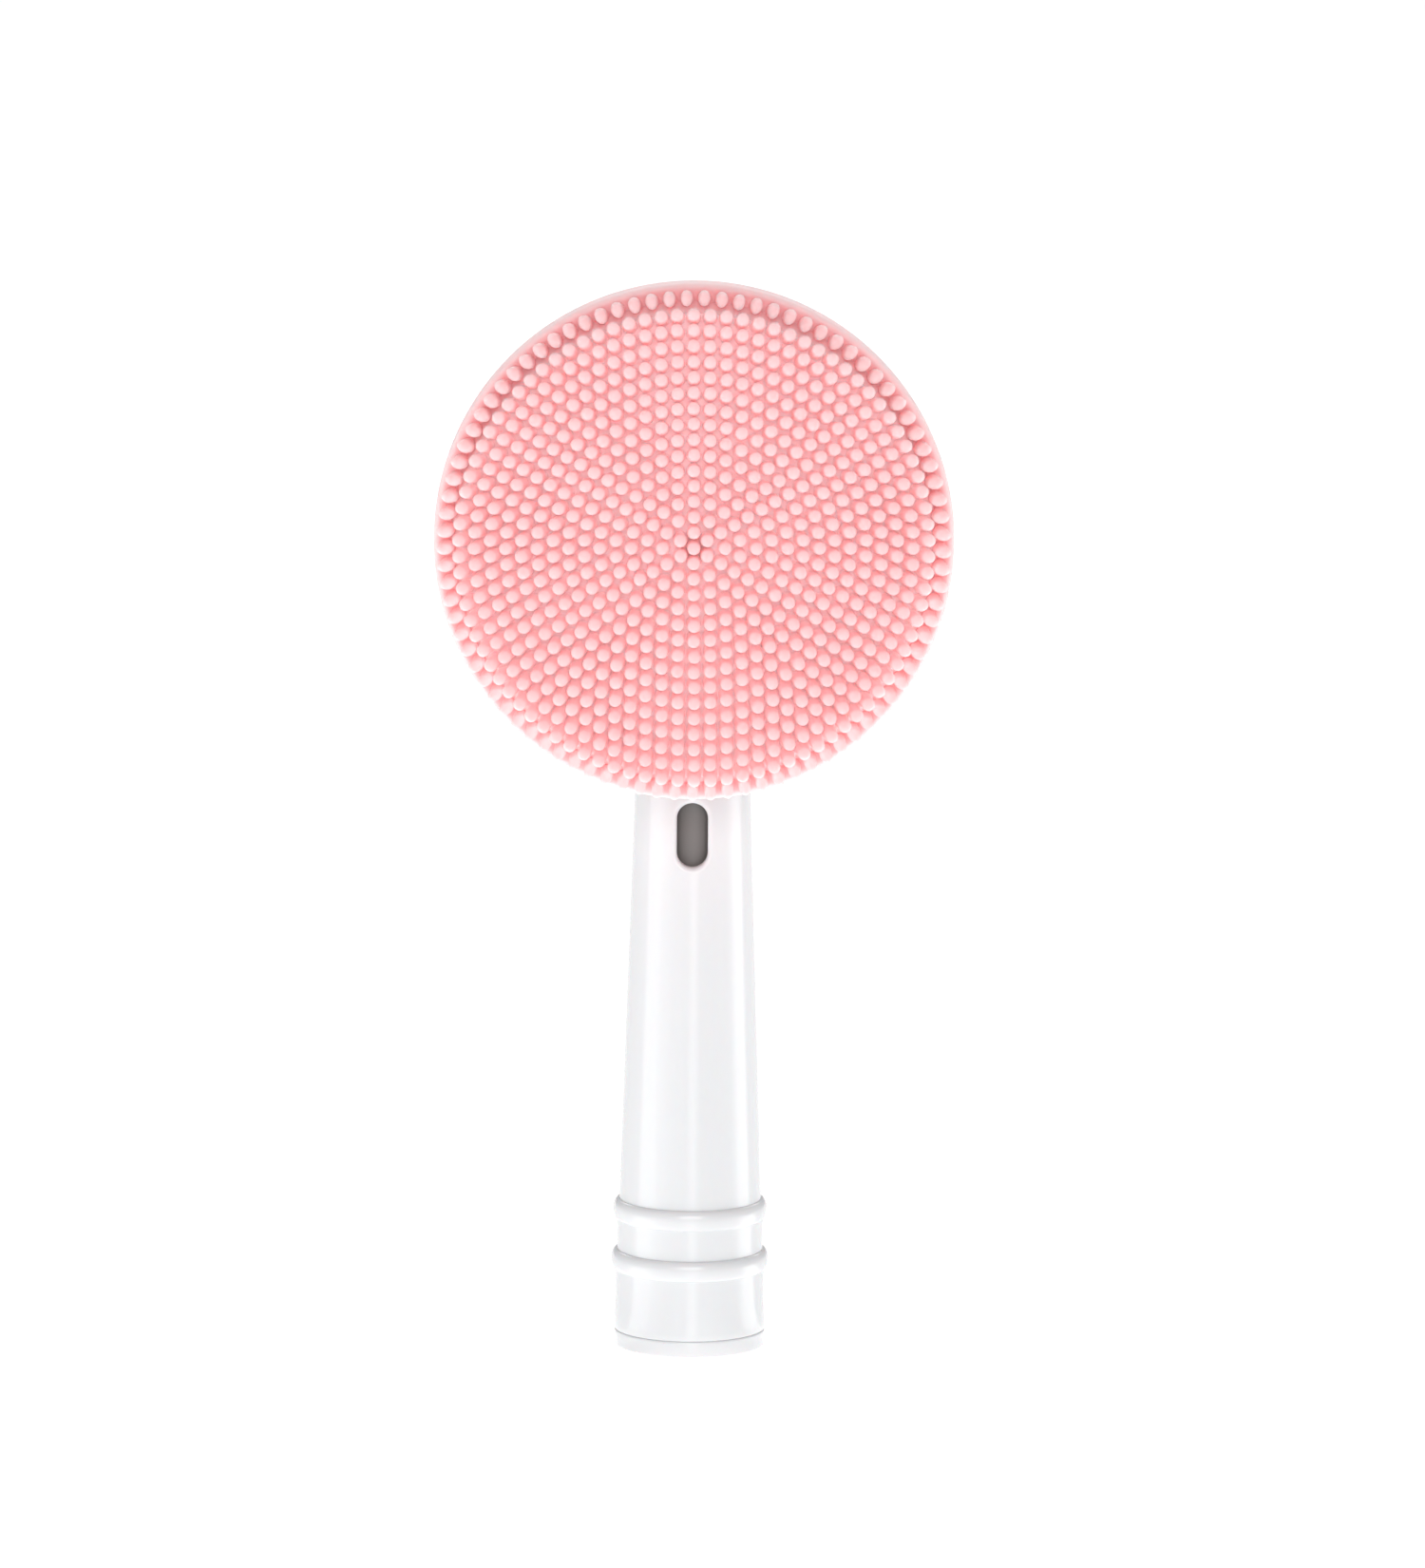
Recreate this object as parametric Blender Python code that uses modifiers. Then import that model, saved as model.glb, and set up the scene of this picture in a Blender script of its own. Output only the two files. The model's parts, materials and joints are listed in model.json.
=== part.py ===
"""Silicone facial cleansing brush head that pushes onto an oscillating toothbrush handle.

The round pad faces -Y, the stem runs along Z, and the origin is the centre of the socket's mouth,
where the stem's foot rests on the handle. Lengths are in metres; MM turns millimetres into metres.

How it works: the handle's shaft turns drive_shaft to and fro about Z. The ball on crank_rod swings
sideways in the slot of drive_hub, which turns the whole disc about the pivot pin, along Y.
"""

import math

import bmesh
import bpy
from mathutils import Matrix

MM = 0.001
GAP = 0.1 * MM  # between pieces that are pressed or seated together
RUNNING = 0.2 * MM  # between pieces that turn against each other

# --- driving dimensions ---
HEAD_Z = 76.0 * MM  # height of the disc's pivot axis
PAD_RADIUS = 23.4 * MM
FOOT_RADIUS = 7.0 * MM
WALL = 1.1 * MM  # stem wall

# stem, heights above the foot
LIP_TOP = 1.45 * MM  # top of the insert's lip, where the stem tube begins
TUBE_FOOT = LIP_TOP + GAP
LOWER_BEAD_Z = 8.0 * MM
UPPER_BEAD_Z = 12.7 * MM
BEAD_HALF_HEIGHT = 0.95 * MM
COLLAR_RADIUS = 6.8 * MM  # just under the lower bead
GROOVE_RADIUS = 6.68 * MM  # between the beads
NECK_FOOT_RADIUS = 6.5 * MM  # just above the upper bead
NECK_TAPER = 0.0315  # radius lost per unit of height
SOCKET_WALL_RADIUS = 5.85 * MM  # inside of the tube around the insert
SOCKET_TOP = 15.0 * MM
WINDOW_LOW, WINDOW_HIGH = 45.2 * MM, 51.1 * MM
WINDOW_WIDTH = 2.8 * MM

# head, depths in front of the stem's axis (towards -Y)
CUP_RADIUS = 6.5 * MM
CUP_BACK, CUP_FRONT = -5.2 * MM, 4.9 * MM
CUP_ROUNDING = 2.2 * MM
POCKET_RADIUS = 5.4 * MM
POCKET_FLOOR = -1.6 * MM
NECK_TOP = HEAD_Z - 4.0 * MM  # where the neck's straight taper ends, inside the cup
BORE_TOP = HEAD_Z - 3.5 * MM

# pivot and hub
PIN_RADIUS = 0.75 * MM
PIN_TAIL = -4.2 * MM
PIN_HEAD_RADIUS = 1.7 * MM
PIN_HEAD_THICKNESS = 0.6 * MM
WASHER_RADIUS = 4.0 * MM
WASHER_THICKNESS = 0.4 * MM
HUB_RADIUS = 5.0 * MM
HUB_BACK = POCKET_FLOOR + WASHER_THICKNESS + 2 * GAP
HUB_FLANGE_RADIUS = 6.4 * MM
HUB_FLANGE_BACK = CUP_FRONT + 0.3 * MM
HUB_FRONT = 6.1 * MM
SCREW_CIRCLE = 3.4 * MM
SCREW_RADIUS = 0.6 * MM
SCREW_HEAD_RADIUS = 1.2 * MM
SCREW_HEAD_HEIGHT = 0.8 * MM
SCREW_TIP = 4.5 * MM
SCREW_COUNT = 3

# crank: the ball sits CRANK_DROP under the pivot and CRANK_THROW in front of the stem's axis
CRANK_THROW = 2.8 * MM
CRANK_DROP = 4.2 * MM
CRANK_BALL_RADIUS = 0.9 * MM
CRANK_ROD_RADIUS = 0.6 * MM
SLOT_PLAY = 0.18 * MM

# drive shaft
SHAFT_FOOT = 7.0 * MM
SHAFT_TOP = 58.5 * MM
SHAFT_NOSE_RADIUS = 3.2 * MM
SHAFT_SLEEVE_RADIUS = 4.6 * MM
SHAFT_RADIUS = 3.8 * MM
SHAFT_JOURNAL_RADIUS = 3.3 * MM  # in the upper bush
SHAFT_BORE_RADIUS = 2.3 * MM  # for the handle's flatted shaft
SHAFT_BORE_FLAT = 1.7 * MM  # distance of the flat from the axis
SHAFT_BORE_TOP = 29.0 * MM
CLIP_LOW, CLIP_HIGH = 14.0 * MM, 17.6 * MM
CLIP_INNER_RADIUS = 4.25 * MM
CLIP_OUTER_RADIUS = 4.65 * MM
CLIP_TONGUE_HALF_WIDTH = 1.0 * MM
CLIP_TONGUE_REACH = 1.65 * MM  # the tongue's tip, from the axis: it bears on the handle shaft's flat
CLIP_OPENING = 35  # half angle of the clip's mouth, degrees
BUSH_LOW, BUSH_HIGH = 52.0 * MM, 56.0 * MM

# insert in the foot
INSERT_INNER_RADIUS = 5.0 * MM
INSERT_CEILING = 6.8 * MM
INSERT_TOP = 8.2 * MM
KEY_WIDTH = 1.2 * MM
KEY_REACH = 0.7 * MM

# disc, depths in front of the stem's axis
DISH_BACK = HUB_FRONT + GAP
DISH_WALL = 1.5 * MM
DISH_CENTRE_RADIUS = 7.4 * MM
DISH_NECK_RADIUS = 19.9 * MM
CORE_RADIUS = 21.7 * MM  # the dish's and the plate's edge, inside the pad's groove
DISH_RIM_BACK, DISH_RIM_FRONT = 9.25 * MM, 9.95 * MM
PLATE_FRONT = 10.9 * MM
PLATE_RING_RADIUS = 18.4 * MM
PAD_LIP_BACK, PAD_LIP_FRONT = 8.0 * MM, 9.1 * MM
PAD_LIP_RADIUS = 20.1 * MM
PAD_WIDEST = 10.25 * MM
PAD_BACK_FACE = 11.0 * MM
PAD_FACE = 14.6 * MM  # between the bristles
PAD_FACE_RADIUS = 21.2 * MM  # the face falls from here to the shoulder
PAD_SHOULDER = 12.4 * MM  # around the edge, where the outermost bristles stand
PAD_SHOULDER_RADIUS = 21.75 * MM
PAD_EDGE_ROUNDING = 0.5 * MM
PAD_FRONT_RADIUS = 23.35 * MM  # where that rounding ends
BRISTLE_TIP = 16.5 * MM
BRISTLE_PITCH = 1.41 * MM
BRISTLE_RINGS = 14  # inside the last two, which stand apart
RIB_WIDTH = 1.3 * MM  # gives the ribs the volume of the bristles they stand for
LAST_RIB_INNER = 20.5 * MM
EDGE_RIB_INNER, EDGE_RIB_OUTER = 21.95 * MM, 22.6 * MM
EDGE_RIB_TIP = 15.2 * MM

FINE_STEPS = 40
MEDIUM_STEPS = 32
SMALL_STEPS = 16

FORWARD = (math.radians(90), 0, 0)  # turns a piece's own Z towards -Y, where the disc faces


def clear_scene():
    for obj in list(bpy.data.objects):
        bpy.data.objects.remove(obj)


def new_collection(name):
    collection = bpy.data.collections.new(name)
    bpy.context.scene.collection.children.link(collection)
    return collection


def new_material(name, colour, roughness, metallic=0.0):
    material = bpy.data.materials.new(name)
    material.use_nodes = True
    shader = material.node_tree.nodes["Principled BSDF"]
    shader.inputs["Base Color"].default_value = (*colour, 1.0)
    shader.inputs["Roughness"].default_value = roughness
    shader.inputs["Metallic"].default_value = metallic
    return material


clear_scene()
PARTS = new_collection("facial_brush_head")
CUTTERS = new_collection("cutters")
WHITE = new_material("white_plastic", (0.90, 0.91, 0.93), 0.22)
GREY = new_material("grey_acetal", (0.16, 0.15, 0.145), 0.4)
STEEL = new_material("steel", (0.62, 0.62, 0.64), 0.25, 1.0)
SILICONE = new_material("pink_silicone", (0.95, 0.48, 0.50), 0.45)


# --- builders ---
def arc(centre_r, centre_z, reach_r, reach_z, start, end, count):
    """Points (r, z) on an ellipse's arc, from start to end degrees."""
    angles = [math.radians(start + (end - start) * i / (count - 1)) for i in range(count)]
    return [(centre_r + reach_r * math.cos(a), centre_z + reach_z * math.sin(a)) for a in angles]


def turned(name, profile, steps, ring=False):
    """A profile of (r, z) points turned about Z. It runs down the outer side, top to bottom;
    a ring's profile then comes back up its bore."""
    mesh = bpy.data.meshes.new(name)
    edges = [(i, i + 1) for i in range(len(profile) - 1)]
    if ring:
        edges.append((len(profile) - 1, 0))
    mesh.from_pydata([(r, 0, z) for r, z in profile], edges, [])
    obj = bpy.data.objects.new(name, mesh)
    screw = obj.modifiers.new("turn", "SCREW")
    screw.steps = screw.render_steps = steps
    screw.use_merge_vertices = True
    screw.merge_threshold = 0.000001
    screw.use_smooth_shade = True
    return obj


def as_mesh(curve_object):
    """The curve object as a closed mesh object, with its caps welded to its sides."""
    bpy.context.view_layer.update()
    graph = bpy.context.evaluated_depsgraph_get()
    mesh = bpy.data.meshes.new_from_object(curve_object.evaluated_get(graph))
    welder = bmesh.new()
    welder.from_mesh(mesh)
    bmesh.ops.remove_doubles(welder, verts=welder.verts, dist=0.000001)
    bmesh.ops.recalc_face_normals(welder, faces=welder.faces)
    welder.to_mesh(mesh)
    welder.free()
    obj = bpy.data.objects.new(curve_object.name, mesh)
    obj.matrix_world = curve_object.matrix_world
    name = curve_object.name
    bpy.data.objects.remove(curve_object)
    obj.name = name
    return obj


def flat_outline(name, points, low, high):
    """A flat outline of (x, y) points, filled and extruded from low to high along Z."""
    curve = bpy.data.curves.new(name, "CURVE")
    curve.dimensions = "2D"
    curve.fill_mode = "BOTH"
    curve.extrude = (high - low) / 2
    spline = curve.splines.new("POLY")
    spline.points.add(len(points) - 1)
    for point, (x, y) in zip(spline.points, points):
        point.co = (x, y, 0, 1)
    spline.use_cyclic_u = True
    obj = bpy.data.objects.new(name, curve)
    CUTTERS.objects.link(obj)
    made = as_mesh(obj)
    made.data.transform(Matrix.Translation((0, 0, (low + high) / 2)))
    return made


def bent_rod(name, points, radius):
    """A round rod along the points (x, y, z)."""
    curve = bpy.data.curves.new(name, "CURVE")
    curve.dimensions = "3D"
    curve.bevel_depth = radius
    curve.bevel_resolution = 2
    curve.use_fill_caps = True
    spline = curve.splines.new("POLY")
    spline.points.add(len(points) - 1)
    for point, place in zip(spline.points, points):
        point.co = (*place, 1)
    obj = bpy.data.objects.new(name, curve)
    CUTTERS.objects.link(obj)
    return as_mesh(obj)


def block(name, low, high):
    """A box between two corners."""
    bpy.ops.mesh.primitive_cube_add(size=1, location=[(a + b) / 2 for a, b in zip(low, high)])
    obj = bpy.context.object
    obj.name = name
    obj.scale = [b - a for a, b in zip(low, high)]
    bpy.context.collection.objects.unlink(obj)
    return obj


def ball(name, radius, place):
    bpy.ops.mesh.primitive_uv_sphere_add(segments=16, ring_count=8, radius=radius, location=place)
    obj = bpy.context.object
    obj.name = name
    bpy.context.collection.objects.unlink(obj)
    return obj


def change(target, helper, operation):
    """Cuts helper from target, or joins it to target, and hides helper."""
    if helper.name not in CUTTERS.objects:
        CUTTERS.objects.link(helper)
    helper.hide_render = True
    helper.display_type = "WIRE"
    boolean = target.modifiers.new(helper.name, "BOOLEAN")
    boolean.object = helper
    boolean.operation = operation


def cut(target, helper):
    change(target, helper, "DIFFERENCE")


def join(target, helper):
    change(target, helper, "UNION")


def finish(obj, material, place=(0, 0, 0), turn=(0, 0, 0)):
    if obj.name in CUTTERS.objects:
        CUTTERS.objects.unlink(obj)
    PARTS.objects.link(obj)
    obj.location = place
    obj.rotation_euler = turn
    obj.data.materials.append(material)
    return obj


def finish_on_pivot(obj, material):
    """Places a piece whose own Z is its depth in front of the stem's axis, at the pivot's height."""
    return finish(obj, material, (0, 0, HEAD_Z), FORWARD)


def facing_cutter(obj):
    """A cutter modelled like a piece of the disc, turned the same way."""
    obj.location = (0, 0, HEAD_Z)
    obj.rotation_euler = FORWARD
    return obj


# --- stem ---
def neck_radius(z):
    return NECK_FOOT_RADIUS - NECK_TAPER * (z - UPPER_BEAD_Z - BEAD_HALF_HEIGHT)


def bead(z, radius_above, radius_below, bead_radius):
    """A rounded bead's profile, from its upper crease to its lower one."""
    bottom_to_top = arc(0, 0, 1, 1, -90, 90, 7)
    points = []
    for reach, height in reversed(bottom_to_top):
        share = (height + 1) / 2
        base = radius_below + (radius_above - radius_below) * share
        points.append((base + (bead_radius - base) * reach, z + BEAD_HALF_HEIGHT * height))
    return points


def stem_outline():
    top = neck_radius(NECK_TOP)
    upper = bead(UPPER_BEAD_Z, NECK_FOOT_RADIUS, GROOVE_RADIUS, 7.05 * MM)
    lower = bead(LOWER_BEAD_Z, GROOVE_RADIUS, COLLAR_RADIUS, 7.22 * MM)
    foot = [(6.82 * MM, 4.2 * MM), (FOOT_RADIUS - 0.02 * MM, 2.2 * MM)]
    edge = [(FOOT_RADIUS - 0.02 * MM, TUBE_FOOT + GAP), (FOOT_RADIUS - 0.12 * MM, TUBE_FOOT)]
    dome = arc(0, NECK_TOP, top, 3.6 * MM, 90, 0, 5)
    return dome + upper + lower + foot + edge + [(0, TUBE_FOOT)]


def cup_outline():
    """The head's cup, front to back, as (radius, depth)."""
    side = [(CUP_RADIUS - 0.3 * MM, CUP_FRONT), (CUP_RADIUS, CUP_FRONT - 0.3 * MM)]
    corner = CUP_RADIUS - CUP_ROUNDING
    rounding = arc(corner, CUP_BACK + CUP_ROUNDING, CUP_ROUNDING, CUP_ROUNDING, 0, -90, 6)
    return [(0, CUP_FRONT)] + side + rounding + [(0, CUP_BACK)]


def stem_bore():
    """The tube's inside, from the cup's pocket down past the foot."""
    shoulder = neck_radius(SOCKET_TOP) - WALL
    return [
        (0, BORE_TOP),
        (neck_radius(BORE_TOP) - WALL + 0.1 * MM, BORE_TOP),
        (shoulder, SOCKET_TOP + 1.5 * MM),
        (SOCKET_WALL_RADIUS, SOCKET_TOP),
        (SOCKET_WALL_RADIUS, -1 * MM),
        (0, -1 * MM),
    ]


def window_outline():
    """The rinse window, an upright slot with round ends, as (x, z)."""
    half = WINDOW_WIDTH / 2
    top = arc(0, WINDOW_HIGH - half, half, half, 0, 180, 9)
    return top + arc(0, WINDOW_LOW + half, half, half, 180, 360, 9)


def make_stem():
    stem = turned("stem_tube", stem_outline(), FINE_STEPS)
    join(stem, facing_cutter(turned("cup_body", cup_outline(), FINE_STEPS)))
    cut(stem, turned("bore_cutter", stem_bore(), FINE_STEPS))
    pin_hole = PIN_RADIUS + GAP
    pocket = [
        (0, 9 * MM),
        (POCKET_RADIUS, 9 * MM),
        (POCKET_RADIUS, POCKET_FLOOR),
        (pin_hole, POCKET_FLOOR),
        (pin_hole, PIN_TAIL - GAP),
        (0, PIN_TAIL - GAP),
    ]
    pocket_cutter = turned("pocket_cutter", pocket, FINE_STEPS)
    half_step = math.pi / FINE_STEPS  # keeps its edges off the cup's own
    pocket_cutter.data.transform(Matrix.Rotation(half_step, 4, "Z"))
    cut(stem, facing_cutter(pocket_cutter))
    window = flat_outline("window_cutter", window_outline(), 2 * MM, 9 * MM)
    window.rotation_euler = FORWARD
    cut(stem, window)
    return finish(stem, WHITE)


def make_base_insert():
    outer = SOCKET_WALL_RADIUS - GAP
    profile = [
        (outer, INSERT_TOP),
        (outer, LIP_TOP),
        (FOOT_RADIUS - 0.05 * MM, LIP_TOP),
        (FOOT_RADIUS - 0.05 * MM, 0.35 * MM),
        (FOOT_RADIUS - 0.4 * MM, 0),
        (INSERT_INNER_RADIUS + 0.3 * MM, 0),
        (INSERT_INNER_RADIUS, 0.3 * MM),
        (INSERT_INNER_RADIUS, INSERT_CEILING),
        (SHAFT_NOSE_RADIUS + RUNNING, INSERT_CEILING),
        (SHAFT_NOSE_RADIUS + RUNNING, INSERT_TOP),
    ]
    insert = turned("base_insert", profile, FINE_STEPS, ring=True)
    inner, outer = INSERT_INNER_RADIUS - KEY_REACH, INSERT_INNER_RADIUS + 0.4 * MM
    for name, left, right in (("key_left", -outer, -inner), ("key_right", inner, outer)):
        low = (left, -KEY_WIDTH / 2, 1.0 * MM)
        high = (right, KEY_WIDTH / 2, INSERT_CEILING + 0.4 * MM)
        join(insert, block(name, low, high))
    return finish(insert, WHITE)


# --- drive ---
def flatted_bore():
    """The D-shaped bore's outline, its flat towards -Y."""
    flat = math.degrees(math.asin(SHAFT_BORE_FLAT / SHAFT_BORE_RADIUS))
    return arc(0, 0, SHAFT_BORE_RADIUS, SHAFT_BORE_RADIUS, -flat, 180 + flat, 17)


def make_drive_shaft():
    groove = CLIP_INNER_RADIUS - GAP
    profile = [
        (0, SHAFT_TOP),
        (SHAFT_JOURNAL_RADIUS - 0.4 * MM, SHAFT_TOP),
        (SHAFT_JOURNAL_RADIUS, SHAFT_TOP - 0.4 * MM),
        (SHAFT_JOURNAL_RADIUS, BUSH_LOW - 0.3 * MM),
        (SHAFT_RADIUS, BUSH_LOW - 0.5 * MM),
        (SHAFT_RADIUS, 33 * MM),
        (SHAFT_SLEEVE_RADIUS, 29 * MM),
        (SHAFT_SLEEVE_RADIUS, CLIP_HIGH + GAP),
        (groove, CLIP_HIGH + GAP),
        (groove, CLIP_LOW - GAP),
        (SHAFT_SLEEVE_RADIUS, CLIP_LOW - GAP),
        (SHAFT_SLEEVE_RADIUS, INSERT_TOP + RUNNING),
        (SHAFT_NOSE_RADIUS, INSERT_TOP + RUNNING),
        (SHAFT_NOSE_RADIUS, SHAFT_FOOT),
        (0, SHAFT_FOOT),
    ]
    shaft = turned("drive_shaft", profile, MEDIUM_STEPS)
    cut(shaft, flat_outline("shaft_bore_cutter", flatted_bore(), SHAFT_FOOT - 1 * MM, SHAFT_BORE_TOP))
    half = CLIP_TONGUE_HALF_WIDTH + GAP
    low = (-half, -SHAFT_SLEEVE_RADIUS - 1 * MM, CLIP_LOW - GAP)
    high = (half, 0, CLIP_HIGH + GAP)
    cut(shaft, block("tongue_window_cutter", low, high))
    hole = CRANK_ROD_RADIUS + GAP
    low_end = SHAFT_TOP - 9.2 * MM
    rod_hole = [(0, SHAFT_TOP + 1 * MM), (hole, SHAFT_TOP + 1 * MM), (hole, low_end), (0, low_end)]
    cut(shaft, turned("rod_hole_cutter", rod_hole, SMALL_STEPS))
    return finish(shaft, GREY)


def make_grip_clip():
    """A C-shaped leaf spring around the drive shaft, its tongue reaching in towards the bore's flat."""
    outer = arc(0, 0, CLIP_OUTER_RADIUS, CLIP_OUTER_RADIUS, 90 + CLIP_OPENING, 450 - CLIP_OPENING, 25)
    start = math.degrees(math.asin(CLIP_TONGUE_HALF_WIDTH / CLIP_INNER_RADIUS))
    radius = CLIP_INNER_RADIUS
    right = arc(0, 0, radius, radius, 450 - CLIP_OPENING, 270 + start, 11)
    tongue = [(CLIP_TONGUE_HALF_WIDTH, -CLIP_TONGUE_REACH), (-CLIP_TONGUE_HALF_WIDTH, -CLIP_TONGUE_REACH)]
    left = arc(0, 0, radius, radius, 270 - start, 90 + CLIP_OPENING, 11)
    clip = flat_outline("grip_clip", outer + right + tongue + left, CLIP_LOW, CLIP_HIGH)
    return finish(clip, STEEL)


def crank_route():
    """The rod's centre line: up the shaft, an S-bend forward by CRANK_THROW, and up to the ball."""
    low, high = SHAFT_TOP + 1 * MM, SHAFT_TOP + 7 * MM
    points = [(0, 0, SHAFT_TOP - 8.5 * MM)]
    for i in range(9):
        share = i / 8
        forward = CRANK_THROW * (1 - math.cos(math.pi * share)) / 2
        points.append((0, -forward, low + (high - low) * share))
    points.append((0, -CRANK_THROW, HEAD_Z - CRANK_DROP))
    return points


def make_crank_rod():
    rod = bent_rod("crank_rod", crank_route(), CRANK_ROD_RADIUS)
    join(rod, ball("crank_ball", CRANK_BALL_RADIUS, (0, -CRANK_THROW, HEAD_Z - CRANK_DROP)))
    return finish(rod, STEEL)


def make_upper_bush():
    inner = SHAFT_JOURNAL_RADIUS + RUNNING
    profile = [
        (neck_radius(BUSH_HIGH) - WALL - GAP, BUSH_HIGH),
        (neck_radius(BUSH_LOW) - WALL - GAP, BUSH_LOW),
        (inner, BUSH_LOW),
        (inner, BUSH_HIGH),
    ]
    return finish(turned("upper_bush", profile, MEDIUM_STEPS, ring=True), WHITE)


# --- pivot and hub ---
def make_pivot_pin():
    head_front = HUB_FRONT - GAP
    head_back = head_front - PIN_HEAD_THICKNESS
    profile = [
        (0, head_front),
        (PIN_HEAD_RADIUS - 0.15 * MM, head_front),
        (PIN_HEAD_RADIUS, head_front - 0.15 * MM),
        (PIN_HEAD_RADIUS, head_back),
        (PIN_RADIUS, head_back),
        (PIN_RADIUS, PIN_TAIL + 0.2 * MM),
        (PIN_RADIUS - 0.2 * MM, PIN_TAIL),
        (0, PIN_TAIL),
    ]
    return finish_on_pivot(turned("pivot_pin", profile, SMALL_STEPS), STEEL)


def make_thrust_washer():
    back = POCKET_FLOOR + GAP
    front = back + WASHER_THICKNESS
    bore = PIN_RADIUS + RUNNING
    profile = [(WASHER_RADIUS, front), (WASHER_RADIUS, back), (bore, back), (bore, front)]
    return finish_on_pivot(turned("thrust_washer", profile, MEDIUM_STEPS, ring=True), STEEL)


def make_drive_hub():
    bore = PIN_RADIUS + RUNNING
    recess = PIN_HEAD_RADIUS + RUNNING
    recess_floor = HUB_FRONT - GAP - PIN_HEAD_THICKNESS - RUNNING
    profile = [
        (HUB_FLANGE_RADIUS, HUB_FRONT),
        (HUB_FLANGE_RADIUS, HUB_FLANGE_BACK),
        (HUB_RADIUS, HUB_FLANGE_BACK),
        (HUB_RADIUS, HUB_BACK + 0.3 * MM),
        (HUB_RADIUS - 0.3 * MM, HUB_BACK),
        (bore, HUB_BACK),
        (bore, recess_floor),
        (recess, recess_floor),
        (recess, HUB_FRONT),
    ]
    hub = turned("drive_hub", profile, MEDIUM_STEPS, ring=True)
    half = CRANK_BALL_RADIUS + SLOT_PLAY
    low = (-half, -8 * MM, CRANK_THROW - 1.9 * MM)
    high = (half, -CRANK_DROP + 1.6 * MM, CRANK_THROW + 1.3 * MM)
    slot = block("hub_slot_cutter", low, high)
    centre = slot.location.copy()
    slot.rotation_euler = FORWARD
    slot.location = (centre.x, -centre.z, HEAD_Z + centre.y)
    cut(hub, slot)
    for i, (x, y) in enumerate(screw_places()):
        radius = SCREW_RADIUS + GAP
        top, low_end = HUB_FRONT + 1 * MM, SCREW_TIP - GAP
        hole = [(0, top), (radius, top), (radius, low_end), (0, low_end)]
        cut(hub, placed_on_hub(turned(f"hub_hole_cutter_{i + 1}", hole, SMALL_STEPS), x, y))
    return finish_on_pivot(hub, WHITE)


def screw_places():
    """Where the screws stand on the hub, as (x, y) about the pivot: one above it, two below."""
    angles = [math.radians(90 + 360 * i / SCREW_COUNT) for i in range(SCREW_COUNT)]
    return [(SCREW_CIRCLE * math.cos(a), SCREW_CIRCLE * math.sin(a)) for a in angles]


def placed_on_hub(obj, x, y):
    obj.location = (x, 0, HEAD_Z + y)
    obj.rotation_euler = FORWARD
    return obj


def make_hub_screw(number, x, y):
    seat = DISH_BACK + DISH_WALL + GAP
    profile = arc(0, seat, SCREW_HEAD_RADIUS, SCREW_HEAD_HEIGHT, 90, 0, 4) + [
        (SCREW_RADIUS, seat),
        (SCREW_RADIUS, SCREW_TIP + 0.5 * MM),
        (0, SCREW_TIP),
    ]
    screw = turned(f"hub_screw_{number}", profile, SMALL_STEPS)
    return finish(screw, STEEL, (x, 0, HEAD_Z + y), FORWARD)


# --- disc ---
def make_rear_dish():
    centre_front = DISH_BACK + DISH_WALL
    profile = [
        (0, centre_front),
        (DISH_CENTRE_RADIUS - 0.3 * MM, centre_front),
        (PLATE_RING_RADIUS + GAP, DISH_RIM_BACK + 0.1 * MM),
        (PLATE_RING_RADIUS + GAP, DISH_RIM_FRONT),
        (CORE_RADIUS, DISH_RIM_FRONT),
        (CORE_RADIUS, DISH_RIM_BACK),
        (DISH_NECK_RADIUS, DISH_RIM_BACK),
        (DISH_NECK_RADIUS, DISH_RIM_BACK - 0.9 * MM),
        (DISH_CENTRE_RADIUS, DISH_BACK),
        (0, DISH_BACK),
    ]
    dish = turned("rear_dish", profile, FINE_STEPS)
    for i, (x, y) in enumerate(screw_places()):
        radius = SCREW_RADIUS + GAP
        top, low_end = centre_front + 1 * MM, DISH_BACK - 1 * MM
        hole = [(0, top), (radius, top), (radius, low_end), (0, low_end)]
        cut(dish, placed_on_hub(turned(f"dish_hole_cutter_{i + 1}", hole, SMALL_STEPS), x, y))
    return finish_on_pivot(dish, WHITE)


def make_front_plate():
    back = DISH_RIM_FRONT + GAP
    ring_back = DISH_RIM_BACK + 0.35 * MM
    ring_inner = PLATE_RING_RADIUS - 1.0 * MM
    profile = [
        (0, PLATE_FRONT),
        (CORE_RADIUS, PLATE_FRONT),
        (CORE_RADIUS, back),
        (PLATE_RING_RADIUS, back),
        (PLATE_RING_RADIUS, ring_back),
        (ring_inner, ring_back),
        (ring_inner, back),
        (0, back),
    ]
    return finish_on_pivot(turned("front_plate", profile, FINE_STEPS), WHITE)


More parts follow.
